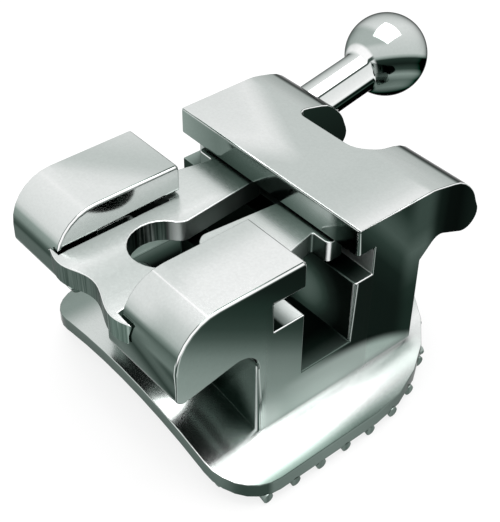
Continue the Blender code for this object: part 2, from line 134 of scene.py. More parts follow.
def tumbled_grain_group():
    """Tumble-polished steel: a faint cloudiness, a fine grain and a slight waviness of the skin."""
    group = bpy.data.node_groups.new("tumbled_grain", "ShaderNodeTree")
    for socket, kind in (("Colour", "NodeSocketColor"), ("Roughness", "NodeSocketFloat")):
        group.interface.new_socket(socket, in_out="INPUT", socket_type=kind)
        group.interface.new_socket(socket, in_out="OUTPUT", socket_type=kind)
    group.interface.new_socket("Height", in_out="OUTPUT", socket_type="NodeSocketFloat")
    nodes, links = group.nodes, group.links
    inside, outside = nodes.new("NodeGroupInput"), nodes.new("NodeGroupOutput")
    place = nodes.new("ShaderNodeTexCoord")
    cloud = nodes.new("ShaderNodeTexNoise")
    cloud.inputs["Scale"].default_value = 2600.0
    cloud.inputs["Detail"].default_value = 4.0
    links.new(place.outputs["Object"], cloud.inputs["Vector"])
    fine = nodes.new("ShaderNodeTexNoise")
    fine.inputs["Scale"].default_value = 42000.0
    fine.inputs["Detail"].default_value = 2.0
    links.new(place.outputs["Object"], fine.inputs["Vector"])
    tint = nodes.new("ShaderNodeMapRange")
    tint.inputs["To Min"].default_value = 0.975
    tint.inputs["To Max"].default_value = 1.02
    links.new(cloud.outputs["Fac"], tint.inputs["Value"])
    grain = nodes.new("ShaderNodeMapRange")
    grain.inputs["To Min"].default_value = 0.94
    grain.inputs["To Max"].default_value = 1.06
    links.new(fine.outputs["Fac"], grain.inputs["Value"])
    together = nodes.new("ShaderNodeMath")
    together.operation = "MULTIPLY"
    links.new(tint.outputs["Result"], together.inputs[0])
    links.new(grain.outputs["Result"], together.inputs[1])
    shade = nodes.new("ShaderNodeVectorMath")
    shade.operation = "SCALE"
    links.new(inside.outputs["Colour"], shade.inputs[0])
    links.new(together.outputs["Value"], shade.inputs["Scale"])
    links.new(shade.outputs["Vector"], outside.inputs["Colour"])
    satin = nodes.new("ShaderNodeMapRange")
    satin.inputs["To Min"].default_value = 0.85
    satin.inputs["To Max"].default_value = 1.25
    links.new(fine.outputs["Fac"], satin.inputs["Value"])
    rough = nodes.new("ShaderNodeMath")
    rough.operation = "MULTIPLY"
    links.new(inside.outputs["Roughness"], rough.inputs[0])
    links.new(satin.outputs["Result"], rough.inputs[1])
    links.new(rough.outputs["Value"], outside.inputs["Roughness"])
    links.new(cloud.outputs["Fac"], outside.inputs["Height"])
    return group


# The side from which the hook's ball looks brightest, where its painted highlight lies.
BRIGHT_SIDE = (-0.56, 0.33, 0.76)


def facing_group():
    """How a polished face lies on the bracket: its tilt about X in degrees, from 0 facing up to +90
    facing the occlusal side and -90 the gingival side, its leanings to the other sides and to the
    bright side, whether the face itself lies level, and its place in millimetres."""
    group = bpy.data.node_groups.new("facing", "ShaderNodeTree")
    for socket in ("Tilt", "Mesial", "Up", "Occlusal", "Sky", "Level", "X", "Y", "Z"):
        group.interface.new_socket(socket, in_out="OUTPUT", socket_type="NodeSocketFloat")
    group.interface.new_socket("Place", in_out="OUTPUT", socket_type="NodeSocketVector")
    nodes, links = group.nodes, group.links
    outside = nodes.new("NodeGroupOutput")
    place = nodes.new("ShaderNodeTexCoord")
    direction = nodes.new("ShaderNodeSeparateXYZ")
    links.new(place.outputs["Normal"], direction.inputs["Vector"])
    forward = nodes.new("ShaderNodeMath")
    forward.operation = "MULTIPLY"
    forward.inputs[1].default_value = -1.0
    links.new(direction.outputs["Y"], forward.inputs[0])
    turn = nodes.new("ShaderNodeMath")
    turn.operation = "ARCTAN2"
    links.new(forward.outputs["Value"], turn.inputs[0])
    links.new(direction.outputs["Z"], turn.inputs[1])
    degrees = nodes.new("ShaderNodeMath")
    degrees.operation = "DEGREES"
    links.new(turn.outputs["Value"], degrees.inputs[0])
    links.new(degrees.outputs["Value"], outside.inputs["Tilt"])
    links.new(direction.outputs["X"], outside.inputs["Mesial"])
    links.new(direction.outputs["Z"], outside.inputs["Up"])
    links.new(forward.outputs["Value"], outside.inputs["Occlusal"])
    bare = nodes.new("ShaderNodeNewGeometry")
    bare_direction = nodes.new("ShaderNodeSeparateXYZ")
    links.new(bare.outputs["True Normal"], bare_direction.inputs["Vector"])
    links.new(bare_direction.outputs["Z"], outside.inputs["Level"])
    sky = nodes.new("ShaderNodeVectorMath")
    sky.operation = "DOT_PRODUCT"
    sky.inputs[1].default_value = BRIGHT_SIDE
    links.new(place.outputs["Normal"], sky.inputs[0])
    links.new(sky.outputs["Value"], outside.inputs["Sky"])
    millimetres = nodes.new("ShaderNodeVectorMath")
    millimetres.operation = "SCALE"
    millimetres.inputs["Scale"].default_value = 1000.0
    links.new(place.outputs["Object"], millimetres.inputs[0])
    links.new(millimetres.outputs["Vector"], outside.inputs["Place"])
    point = nodes.new("ShaderNodeSeparateXYZ")
    links.new(millimetres.outputs["Vector"], point.inputs["Vector"])
    for axis in "XYZ":
        links.new(point.outputs[axis], outside.inputs[axis])
    return group


TUMBLED_GRAIN = tumbled_grain_group()
FACING = facing_group()


class PaintedSteel:
    """One steel with painted light: a Principled metal whose tone of painted reflection, highlight and
    shade is laid on from ramps and masks.
    """

    def __init__(self, name, roughness, waviness, rim=0.5):
        self.material = bpy.data.materials.new(name)
        self.material.use_nodes = True
        self.nodes = self.material.node_tree.nodes
        self.links = self.material.node_tree.links
        steel = self.steel = self.nodes["Principled BSDF"]
        steel.inputs["Metallic"].default_value = 1.0
        steel.inputs["Specular Tint"].default_value = (rim, rim, rim, 1.0)
        self.roughness = roughness
        facing = self.nodes.new("ShaderNodeGroup")
        facing.node_tree = FACING
        self.face = facing.outputs
        self.grain = self.nodes.new("ShaderNodeGroup")
        self.grain.node_tree = TUMBLED_GRAIN
        self.grain.inputs["Roughness"].default_value = roughness
        self.links.new(self.grain.outputs["Colour"], steel.inputs["Base Color"])
        self.links.new(self.grain.outputs["Roughness"], steel.inputs["Roughness"])
        bump = self.nodes.new("ShaderNodeBump")
        bump.inputs["Strength"].default_value = waviness
        bump.inputs["Distance"].default_value = 0.002 * MM
        self.links.new(self.grain.outputs["Height"], bump.inputs["Height"])
        self.links.new(bump.outputs["Normal"], steel.inputs["Normal"])

    def tone(self, value, stops):
        """Colour along a value, from stops of (value, grey level)."""
        low, high = stops[0][0], stops[-1][0]
        share = self.nodes.new("ShaderNodeMapRange")
        share.inputs["From Min"].default_value = low
        share.inputs["From Max"].default_value = high
        self.links.new(value, share.inputs["Value"])
        made = self.nodes.new("ShaderNodeValToRGB")
        elements = made.color_ramp.elements
        elements.remove(elements[-1])
        for i, (at, level) in enumerate(stops):
            element = elements[0] if i == 0 else elements.new((at - low) / (high - low))
            element.position = (at - low) / (high - low)
            element.color = (*linear_steel(level), 1.0)
        self.links.new(share.outputs["Result"], made.inputs["Fac"])
        return made.outputs["Color"]

    def mask(self, value, none, full):
        """0 at one value, 1 at the other, smooth between."""
        made = self.nodes.new("ShaderNodeMapRange")
        made.interpolation_type = "SMOOTHSTEP"
        made.inputs["From Min"].default_value = min(none, full)
        made.inputs["From Max"].default_value = max(none, full)
        made.inputs["To Min"].default_value = 0.0 if none < full else 1.0
        made.inputs["To Max"].default_value = 1.0 if none < full else 0.0
        self.links.new(value, made.inputs["Value"])
        return made.outputs["Result"]

    def band(self, value, start, full_from, full_to, end):
        """1 from one value to another, falling smoothly to 0 on both sides."""
        return self.both(self.mask(value, start, full_from), self.mask(value, end, full_to))

    def sum(self, *terms, start=0.0):
        """The start plus the sum of (factor, value) terms."""
        total = None
        for factor, value in terms:
            made = self.nodes.new("ShaderNodeMath")
            made.operation = "MULTIPLY_ADD"
            self.links.new(value, made.inputs[0])
            made.inputs[1].default_value = factor
            if total is None:
                made.inputs[2].default_value = start
            else:
                self.links.new(total, made.inputs[2])
            total = made.outputs["Value"]
        return total

    def past(self, value, limit, factor):
        """How far the value lies past the limit on the factor's side, times the factor's size."""
        made = self.nodes.new("ShaderNodeMath")
        made.operation = "MAXIMUM"
        self.links.new(self.sum((factor, value), start=-factor * limit), made.inputs[0])
        made.inputs[1].default_value = 0.0
        return made.outputs["Value"]

    def math(self, operation, first, second):
        """One arithmetic step on two values."""
        made = self.nodes.new("ShaderNodeMath")
        made.operation = operation
        self.links.new(first, made.inputs[0])
        self.links.new(second, made.inputs[1])
        return made.outputs["Value"]

    def both(self, *masks):
        """The product of masks."""
        joined = masks[0]
        for other in masks[1:]:
            joined = self.math("MULTIPLY", joined, other)
        return joined

    def over(self, under, upper, mask):
        """The upper colour laid over the under one where the mask is 1."""
        made = self.nodes.new("ShaderNodeMix")
        made.data_type = "RGBA"
        self.links.new(mask, made.inputs["Factor"])
        self.links.new(under, made.inputs[6])
        self.links.new(upper, made.inputs[7])
        return made.outputs[2]

    def plain(self, level):
        """One grey level all over."""
        made = self.nodes.new("ShaderNodeRGB")
        made.outputs[0].default_value = (*linear_steel(level), 1.0)
        return made.outputs[0]

    def roughen(self, mask, roughness):
        """A duller skin where the mask is 1."""
        made = self.nodes.new("ShaderNodeMapRange")
        made.inputs["To Min"].default_value = self.roughness
        made.inputs["To Max"].default_value = roughness
        self.links.new(mask, made.inputs["Value"])
        self.links.new(made.outputs["Result"], self.grain.inputs["Roughness"])

    def glow(self, colour):
        """Painted light: emission that the steel gives off though it is no lamp, added to the reflections
        where they would leave it darker than the real piece."""
        self.links.new(colour, self.steel.inputs["Emission Color"])
        self.steel.inputs["Emission Strength"].default_value = 1.0

    def streaks(self, scale, stops):
        """Fine upright streaks: noise stretched along Z, with its own grey stops."""
        stretch = self.nodes.new("ShaderNodeVectorMath")
        stretch.operation = "MULTIPLY"
        stretch.inputs[1].default_value = (scale, scale, scale * 0.02)
        self.links.new(self.face["Place"], stretch.inputs[0])
        noise = self.nodes.new("ShaderNodeTexNoise")
        noise.inputs["Scale"].default_value = 1.0
        noise.inputs["Detail"].default_value = 2.0
        self.links.new(stretch.outputs["Vector"], noise.inputs["Vector"])
        return self.tone(noise.outputs["Fac"], stops)

    def done(self, colour):
        """The finished material, with the colour laid on."""
        self.links.new(colour, self.grain.inputs["Colour"])
        return self.material


def pad_painted_steel():
    """Painted reflections by place: a bright strip on the mesial side, a greyer middle, and a dark rim,
    with painted light given off on the strip.
    """
    painter = PaintedSteel("pad_steel", roughness=0.15, waviness=0.2)
    face = painter.face
    # Painted reflections on the top: a white strip on the mesial side, greyer at its gingival end and
    # towards the occlusal front.
    strip = painter.tone(face["X"], [
        (1.1, 250), (1.16, 255), (1.37, 255), (1.43, 226), (1.49, 166), (1.53, 122), (1.56, 98),
        (1.60, 90),
    ])
    grey_end = painter.tone(face["X"], [(1.1, 232), (1.3, 222), (1.42, 205), (1.50, 165), (1.60, 120)])
    mesial = painter.over(strip, grey_end, painter.mask(face["Y"], 0.05, 0.85))
    front = painter.tone(face["X"], [
        (-1.5, 110), (-1.32, 120), (-1.2, 205), (-0.6, 215), (0.0, 200), (0.9, 215), (1.1, 252),
    ])
    top = painter.over(front, mesial, painter.mask(face["X"], 1.0, 1.12))
    # A painted dark reflection at the distal-occlusal corner of the top.
    far_corner = painter.both(painter.mask(face["X"], -0.75, -1.15), painter.mask(face["Y"], -0.2, -0.7))
    top = painter.over(top, painter.plain(150), far_corner)
    # Painted reflections on the rim, darker towards the bottom and at the ends of the mesial side.
    side = painter.tone(face["Z"], [(0.05, 96), (0.20, 108), (0.36, 116), (0.47, 124)])
    mesial_edge = painter.tone(face["Y"], [
        (-1.3, 64), (-0.97, 68), (-0.92, 116), (-0.3, 132), (0.4, 126), (0.9, 104), (1.15, 66), (1.6, 60),
    ])
    side = painter.over(side, mesial_edge, painter.mask(face["Mesial"], 0.3, 0.75))
    # Painted light: emission on the mesial strip, grey 150 up to the gingival lobes and 205 on its
    # occlusal part.
    upward = painter.mask(face["Up"], 0.5, 0.9)
    dim = painter.both(
        painter.band(face["X"], 1.16, 1.22, 1.34, 1.44), painter.mask(face["Y"], 1.2, 0.9), upward,
    )
    lit = painter.both(
        painter.band(face["X"], 1.14, 1.2, 1.36, 1.44), painter.mask(face["Y"], 0.5, -0.1), upward,
    )
    glow = painter.over(painter.plain(0), painter.plain(150), dim)
    painter.glow(painter.over(glow, painter.plain(205), lit))
    return painter.done(painter.over(side, top, painter.mask(face["Up"], 0.45, 0.8)))


pad = merged_copy("base_pad", "pad_foil")
soften_edges(pad, width=0.012 * MM, segments=3)
pad.data.materials.append(pad_painted_steel())
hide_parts("base_pad")
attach(pad, "bracket")

# Bonding mesh
# Woven wire mesh, laid under the pad's arch, diffusion brazed to it and stamped out with it, so that
# each wire ends in a round stub along the pad's edge. The braze fills the weave to just past its
# middle and stays back from the edge.

WIRE_PITCH = 0.29 * MM
WIRE_RADIUS = 0.050 * MM
WIRE_WAVE = 0.006 * MM
WIRE_SINK = 0.038 * MM
WIRE_SIDES = 12
WIRE_STEPS = 96
FIRST_ROW = -0.97 * MM
ROWS = 9
COLUMNS = 9
END_RECESS = 0.050 * MM
BRAZE_RECESS = 0.100 * MM
BRAZE_EDGE = -1.158 * MM
BRAZE_THICKNESS = 0.045 * MM
BRAZE_JOINT = 0.004 * MM
PAD_DISTAL = -1.455 * MM
PAD_MESIAL = 1.572 * MM
PAD_MIDDLE = 0.0585 * MM
PAD_OCCLUSAL = -1.256 * MM
OCCLUSAL_SLOPE = 0.0297
PAD_CROWN_UNDERSIDE = 0.3286 * MM
ARCH_RADIUS = 5.0 * MM
GINGIVAL_RADIUS = 1.333 * MM
GINGIVAL_START = 0.267 * MM
CORNER_RADIUS = 0.45 * MM
MESIAL_CORNER_START = -0.853 * MM
DISTAL_CORNER_START = -0.767 * MM


def corner_cut(past, radius):
    """How far a corner's circle lies inside the straight side, at a distance past the circle's start."""
    return radius - np.sqrt(np.maximum(radius**2 - np.clip(past, 0, radius) ** 2, 0))


def outline_reach(y):
    """Distal and mesial limits of the pad at each y: the straight sides, cut back by the circle of
    each corner."""
    gingival = corner_cut(y - GINGIVAL_START, GINGIVAL_RADIUS)
    near = corner_cut(MESIAL_CORNER_START - y, CORNER_RADIUS)
    far = corner_cut(DISTAL_CORNER_START - y, CORNER_RADIUS)
    return PAD_DISTAL + np.maximum(gingival, far), PAD_MESIAL - np.maximum(gingival, near)


def arch_drop(x):
    """How far the arch lies under its crown at x: the sagitta of its circle."""
    return ARCH_RADIUS - np.sqrt(ARCH_RADIUS**2 - (x - PAD_MIDDLE) ** 2)


def woven_wire(x, y, z, along_x):
    """A round wire: a ring set square to the path at each of its points, both ends capped."""
    around = np.linspace(0.0, math.tau, WIRE_SIDES, endpoint=False)
    across = np.array([0.0, 1.0, 0.0]) if along_x else np.array([1.0, 0.0, 0.0])
    up = np.array([0.0, 0.0, 1.0])
    spoke = WIRE_RADIUS * (np.cos(around)[:, None] * across + np.sin(around)[:, None] * up)
    ring = np.stack([x, y, z], axis=1)[:, None, :] + spoke
    count = len(x)
    step = np.arange(count - 1)[:, None] * WIRE_SIDES
    k = np.arange(WIRE_SIDES)[None, :]
    after = (k + 1) % WIRE_SIDES
    corners = [step + k, step + after, step + WIRE_SIDES + after, step + WIRE_SIDES + k]
    quads = np.stack(corners, axis=2).reshape(-1, 4)
    caps = [list(range(WIRE_SIDES)), list(range((count - 1) * WIRE_SIDES, count * WIRE_SIDES))]
    return ring.reshape(-1, 3), quads, caps


def new_piece(name, points, faces, merge=0.0):
    """A piece from points and faces, with its doubles merged where asked and its faces outwards."""
    mesh = bpy.data.meshes.new(name)
    mesh.from_pydata(points.tolist(), [], faces)
    bm = bmesh.new()
    bm.from_mesh(mesh)
    if merge:
        bmesh.ops.remove_doubles(bm, verts=bm.verts, dist=merge)
        bmesh.ops.dissolve_degenerate(bm, dist=0.4 * merge, edges=bm.edges)
    bmesh.ops.recalc_face_normals(bm, faces=bm.faces)
    bm.to_mesh(mesh)
    bm.free()
    mesh.shade_smooth()
    mesh.set_sharp_from_angle(angle=SHARP_FROM)
    piece = bpy.data.objects.new(name, mesh)
    bpy.context.scene.collection.objects.link(piece)
    return piece


def weave():
    """Rows and columns of wires that cross over and under each other by a cosine of the pitch."""
    middle = PAD_CROWN_UNDERSIDE - WIRE_SINK
    rows = FIRST_ROW + WIRE_PITCH * np.arange(ROWS)
    columns = PAD_MIDDLE + WIRE_PITCH * (np.arange(COLUMNS) - (COLUMNS - 1) / 2)
    wires = []
    for i, y in enumerate(rows):
        distal, mesial = outline_reach(np.array([y]))
        x = np.linspace(distal[0], mesial[0], WIRE_STEPS)
        wave = WIRE_WAVE * np.cos((x - columns[0]) / WIRE_PITCH * math.pi) * (-1) ** i
        wires.append((x, np.full_like(x, y), middle - arch_drop(x) + wave, True))
    span = np.linspace(-1.30 * MM, 1.60 * MM, 1200)
    distal, mesial = outline_reach(span)
    for j, x in enumerate(columns):
        inside = span[(distal < x) & (mesial > x)]
        edge = PAD_OCCLUSAL - OCCLUSAL_SLOPE * (x - PAD_MIDDLE) + END_RECESS
        y = np.linspace(max(inside[0], edge), inside[-1], WIRE_STEPS)
        wave = -WIRE_WAVE * np.cos((y - rows[0]) / WIRE_PITCH * math.pi) * (-1) ** j
        level = middle - arch_drop(np.full_like(y, x))
        wires.append((np.full_like(y, x), y, level + wave, False))
    points, faces, start = [], [], 0
    for x, y, z, along_x in wires:
        ring, quads, caps = woven_wire(x, y, z, along_x)
        points.append(ring)
        faces += (quads + start).tolist() + [[v + start for v in cap] for cap in caps]
        start += len(ring)
    return new_piece("woven_mesh", np.concatenate(points), faces)


def braze_layer():
    """The braze between the wires: a thin sheet on the pad's plan outline, its two faces one thickness
    apart along the arch. The rows lie closer together where the outline curves."""
    occlusal, middle, gingival = (-1.200, -0.70, 60), (-0.60, 0.2, 12), (0.3, 1.50, 70)
    y = np.concatenate([np.linspace(*rows) for rows in (occlusal, middle, gingival)]) * MM
    distal, mesial = outline_reach(y)
    distal, mesial = distal + BRAZE_RECESS, mesial - BRAZE_RECESS
    edge = BRAZE_EDGE - OCCLUSAL_SLOPE * np.array([distal, mesial]).T
    y_pair = np.maximum(np.stack([y, y], axis=1), edge)
    across = np.linspace(0.0, 1.0, 41)
    x = distal[:, None] + (mesial - distal)[:, None] * across
    yy = y_pair[:, :1] + (y_pair[:, 1:] - y_pair[:, :1]) * across
    top = PAD_CROWN_UNDERSIDE - BRAZE_JOINT - arch_drop(x)
    rows, columns = x.shape
    upper = np.stack([x, yy, top], axis=2).reshape(-1, 3)
    lower = upper - np.array([0.0, 0.0, BRAZE_THICKNESS])
    k = (np.arange(rows - 1)[:, None] * columns + np.arange(columns - 1)[None, :]).reshape(-1)
    sheet = np.stack([k, k + 1, k + columns + 1, k + columns], axis=1)
    rim = np.concatenate([
        np.arange(columns), np.arange(1, rows) * columns + columns - 1,
        (rows - 1) * columns + np.arange(columns - 2, -1, -1), np.arange(rows - 2, 0, -1) * columns,
    ])
    after = np.roll(rim, -1)
    count = rows * columns
    wall = np.stack([rim, rim + count, after + count, after], axis=1)
    faces = np.concatenate([sheet, sheet[:, ::-1] + count, wall]).tolist()
    return new_piece("braze_layer", np.concatenate([upper, lower]), faces, merge=0.0005 * MM)


def mesh_painted_steel():
    """Satin steel with painted shading as if lit from above, and fine upright streaks in the tone of the
    wires' sides.
    """
    painter = PaintedSteel("mesh_steel", roughness=0.30, waviness=0.6)
    face = painter.face
    # Painted shading by tilt: light on the wires' tops, dark underneath.
    around = painter.tone(face["Tilt"], [
        (-180, 60), (-90, 90), (-30, 150), (0, 170), (60, 140), (100, 95), (180, 60),
    ])
    upright_streaks = painter.streaks(16.0, [(0.3, 100), (0.5, 122), (0.7, 138)])
    return painter.done(painter.over(around, upright_streaks, painter.mask(face["Up"], 0.5, 0.2)))


mesh_steel = mesh_painted_steel()
for mesh_piece in (weave(), braze_layer()):
    mesh_piece.data.materials.append(mesh_steel)
    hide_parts("bonding_mesh")
    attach(mesh_piece, "bracket")

# Bracket body
# One precision-cast steel body, tumbled and polished: two occlusal tie wings, the archwire slot with
# its clip guides, and the gingival wing with its two lobes.


def wing_tops(painter):
    """Painted reflections on the upper faces: the mesial wing brightens towards its side, the distal wing
    has one diagonal dark band, and the gingival wing a light patch at its distal end."""
    face = painter.face
    mesial = painter.tone(face["X"], [
        (0.42, 206), (0.55, 210), (0.64, 220), (0.72, 230), (0.82, 236), (1.2, 240),
    ])
    across = painter.sum((0.638, face["X"]), (-0.769, face["Y"]), start=0.638 * 1.1 - 0.769 * 0.78)
    distal = painter.tone(across, [
        (-0.4, 218), (-0.1, 203), (0.0, 199), (0.1, 200), (0.18, 208), (0.28, 222), (0.42, 230),
        (0.7, 232),
    ])
    wings = painter.over(distal, mesial, painter.mask(face["X"], -0.1, 0.1))
    inward = painter.past(face["Y"], 0.5, -1.1)
    outward = painter.past(face["Y"], 0.60, 2.1)
    patch = painter.sum((-1.0, face["X"]), (-1.0, inward), (-1.0, outward))
    lit = painter.tone(patch, [(-0.15, 203), (0.0, 213), (0.15, 226), (0.34, 235), (0.6, 230), (0.9, 228)])
    right = painter.tone(face["X"], [(0.5, 200), (0.72, 203), (0.86, 207), (1.0, 218), (1.12, 236)])
    gingival = painter.over(lit, right, painter.mask(face["X"], 0.4, 0.65))
    return painter.over(wings, gingival, painter.mask(face["Y"], 0.0, 0.1))


def rounded_noses(painter):
    """The occlusal wings' noses by their tilt, in painted reflection: a painted highlight line where the
    round begins, light down to 60 degrees, a dark stripe, and a grey front."""
    face = painter.face
    inner = painter.tone(face["Tilt"], [
        (0, 214), (12.4, 218), (13.2, 230), (14, 250), (14.8, 232), (15.6, 221), (45, 221), (52, 213),
        (60, 192), (64, 120), (68, 88), (74, 116), (80, 100), (85, 90), (90, 80), (120, 70),
    ])
    outer = painter.tone(face["Tilt"], [
        (0, 235), (12.4, 234), (13.2, 244), (14, 254), (14.8, 244), (15.6, 232), (30, 220), (37, 206),
        (45, 196), (52, 187), (58, 172), (63, 128), (68, 88), (74, 104), (82, 118), (90, 96), (120, 90),
    ])
    mesial = painter.over(inner, outer, painter.mask(face["X"], 0.62, 0.92))
    distal = painter.tone(face["Tilt"], [
        (0, 229), (10, 231), (14, 237), (20, 231), (37, 226), (52, 220), (58, 215), (63, 188), (67, 148),
        (74, 134), (79, 88), (84, 62), (90, 103), (120, 90),
    ])
    return painter.over(distal, mesial, painter.mask(face["X"], -0.1, 0.1))


def mesial_side(painter):
    """The flat mesial side in painted shade and reflection: dark under the wings' tops and lighter towards
    the pad, whose painted reflection is a pale band with a curved upper edge that rises towards the slot."""
    face = painter.face
    slope = painter.sum((1.0, face["Z"]), (0.62, face["Y"]), start=0.62 * 1.37)
    occlusal = painter.tone(slope, [
        (0.95, 176), (1.06, 168), (1.13, 159), (1.23, 148), (1.33, 142), (1.43, 138), (1.53, 130),
        (1.63, 120), (1.73, 100), (1.83, 78), (1.93, 61), (2.07, 50), (2.17, 44), (2.33, 30), (2.6, 22),
    ])
    ridge = painter.sum((1.0, face["Z"]), (1.2, face["Y"]))
    gingival = painter.tone(ridge, [
        (0.8, 34), (1.4, 28), (1.9, 27), (2.2, 34), (2.4, 58), (2.55, 82), (2.66, 76), (2.85, 50),
        (3.1, 20), (3.4, 15),
    ])
    lobe = painter.tone(face["Y"], [(1.05, 70), (1.2, 34), (1.35, 17), (1.5, 15), (1.7, 28)])
    gingival = painter.over(gingival, lobe, painter.mask(face["Y"], 1.0, 1.35))
    low_back = painter.tone(face["Z"], [(0.45, 44), (0.8, 42), (1.0, 48), (1.2, 72), (1.4, 92), (1.6, 70)])
    gingival = painter.over(gingival, low_back, painter.band(face["Y"], 0.8, 1.0, 1.08, 1.25))
    side = painter.over(occlusal, gingival, painter.mask(face["Y"], -0.28, 0.28))
    past = painter.past(face["Y"], -0.1, 1.0)
    curve = painter.math("MULTIPLY", past, past)
    depth = painter.sum((1.0, face["Z"]), (0.24, curve), start=-0.70)
    pale = painter.tone(face["Y"], [
        (-0.8, 144), (-0.6, 154), (-0.3, 162), (0.1, 170), (0.5, 176), (0.8, 172), (1.0, 160),
        (1.07, 190),
    ])
    reflected = painter.both(painter.mask(depth, 0.07, -0.07), painter.mask(face["Y"], -0.62, -0.38))
    return painter.over(side, pale, reflected)


def slot_distance(painter, x, z):
    """The square of the distance in X and Z from a point on the slot's far wall, in millimetres."""
    across = painter.sum((1.0, painter.face["X"]), start=-x)
    rise = painter.sum((1.0, painter.face["Z"]), start=-z)
    return painter.math("ADD", painter.math("MULTIPLY", across, across), painter.math("MULTIPLY", rise, rise))


def hidden_channels(painter):
    """Slot, guides and valley: painted shade on dull steel, with one soft painted light spot on the slot's
    far wall, and a paler end of the gingival guide and a pale floor of the occlusal guide, both painted
    reflections."""
    face = painter.face
    upward = painter.mask(face["Up"], 0.5, 0.8)
    wall = painter.tone(slot_distance(painter, 0.58, 1.04), [
        (0.0, 190), (0.03, 160), (0.08, 110), (0.16, 80), (0.3, 62), (0.5, 54),
    ])
    guide_wall = painter.tone(face["X"], [
        (-1.15, 190), (-0.8, 110), (0.3, 90), (0.62, 110), (0.8, 190), (1.15, 235),
    ])
    wall = painter.over(wall, guide_wall, painter.mask(face["Y"], 0.40, 0.44))
    floor = painter.tone(face["X"], [
        (-1.15, 150), (-0.95, 110), (-0.85, 8), (-0.2, 6), (0.4, 40), (0.86, 24), (1.0, 46), (1.15, 104),
    ])
    dark = painter.over(wall, floor, upward)
    dark = painter.over(dark, painter.plain(190), painter.both(painter.mask(face["Y"], -0.60, -0.63), upward))
    ledge = painter.tone(face["Y"], [(-0.60, 26), (-0.50, 34), (-0.47, 170), (-0.36, 215), (-0.29, 225)])
    on_ledge = painter.both(painter.mask(face["Y"], -0.26, -0.29), upward, painter.mask(face["Z"], 1.3, 1.4))
    return painter.over(dark, ledge, painter.both(on_ledge, painter.mask(face["X"], 0.6, 0.75)))


def channel_glow(painter, in_valley):
    """Painted light, an emission though no lamp is there, in the hidden places: a soft spot on the slot's
    far wall, the upper wall of the gap beside the distal wing, and the distal half of the pit's floor."""
    face = painter.face
    spot = painter.tone(slot_distance(painter, 0.575, 1.03), [
        (0.0, 84), (0.02, 72), (0.05, 48), (0.10, 24), (0.20, 0),
    ])
    on_wall = painter.both(
        painter.band(face["Y"], 0.26, 0.27, 0.29, 0.30), painter.mask(face["Occlusal"], 0.5, 0.9),
    )
    pit_wall = painter.tone(face["Z"], [(1.16, 0), (1.24, 14), (1.33, 62), (1.42, 98)])
    in_gap = painter.both(
        painter.band(face["X"], -0.285, -0.275, -0.26, -0.25), painter.mask(face["Mesial"], 0.8, 0.95),
        painter.mask(face["Z"], 1.44, 1.43),
    )
    pit_floor = painter.tone(face["X"], [
        (-0.3, 120), (-0.1, 104), (0.0, 84), (0.06, 26), (0.12, 10), (0.3, 10),
    ])
    in_pit = painter.both(
        painter.mask(face["Z"], 1.45, 1.42), painter.mask(face["Y"], -0.45, -0.5),
        painter.mask(face["Up"], 0.5, 0.8), in_valley,
    )
    shine = painter.over(painter.plain(0), spot, on_wall)
    return painter.over(painter.over(shine, pit_wall, in_gap), pit_floor, in_pit)


def occlusal_fronts(painter):
    """The faces towards the occlusal side in painted reflection: the leg lightens upwards from the pad,
    and the wings' fronts carry dark and grey stripes."""
    face = painter.face
    leg = painter.sum((1.0, face["Z"]), (1.0, painter.past(face["X"], 0.88, 1.2)))
    front = painter.tone(leg, [
        (0.42, 48), (0.52, 44), (0.60, 54), (0.68, 76), (0.74, 94), (0.80, 112), (0.88, 132), (1.0, 146),
    ])
    rise = painter.sum((1.0, face["Z"]), (0.35, face["X"]))
    stripes = painter.tone(rise, [
        (1.40, 104), (1.50, 120), (1.58, 108), (1.66, 80), (1.71, 62), (1.77, 92), (1.83, 98), (1.90, 72),
        (1.97, 84),
    ])
    return painter.over(front, stripes, painter.mask(face["Y"], -1.3, -1.45))


def edge_lines(painter, colour):
    """Painted highlights on the rounded edges that lean to the mesial side: a light line with a dark one
    beside it along the tops, and a pale strip down the upright edges."""
    face = painter.face
    line = painter.tone(face["Mesial"], [
        (0.0, 190), (0.08, 120), (0.14, 74), (0.30, 80), (0.38, 190), (0.44, 255), (0.80, 252),
        (0.88, 130), (0.96, 60),
    ])
    shoulder = painter.both(painter.mask(face["X"], 0.9, 1.0), painter.mask(face["Z"], 1.20, 1.30))
    high = painter.math("MAXIMUM", painter.mask(face["Z"], 1.60, 1.66), shoulder)
    on_tops = painter.both(
        painter.mask(face["Up"], 0.1, 0.35), painter.mask(face["Mesial"], 0.04, 0.10), high,
        painter.mask(face["Level"], 0.9998, 0.9985),
    )
    colour = painter.over(colour, line, on_tops)
    strip = painter.tone(face["Mesial"], [
        (0.0, 80), (0.06, 180), (0.22, 212), (0.32, 190), (0.42, 90), (0.66, 62), (0.80, 84), (0.88, 190),
        (0.95, 176), (0.99, 120),
    ])
    on_upright = painter.both(
        painter.band(face["Up"], -0.35, -0.2, 0.2, 0.35), painter.mask(face["X"], 1.05, 1.10),
        painter.mask(face["Mesial"], 0.06, 0.12),
    )
    return painter.over(colour, strip, on_upright)


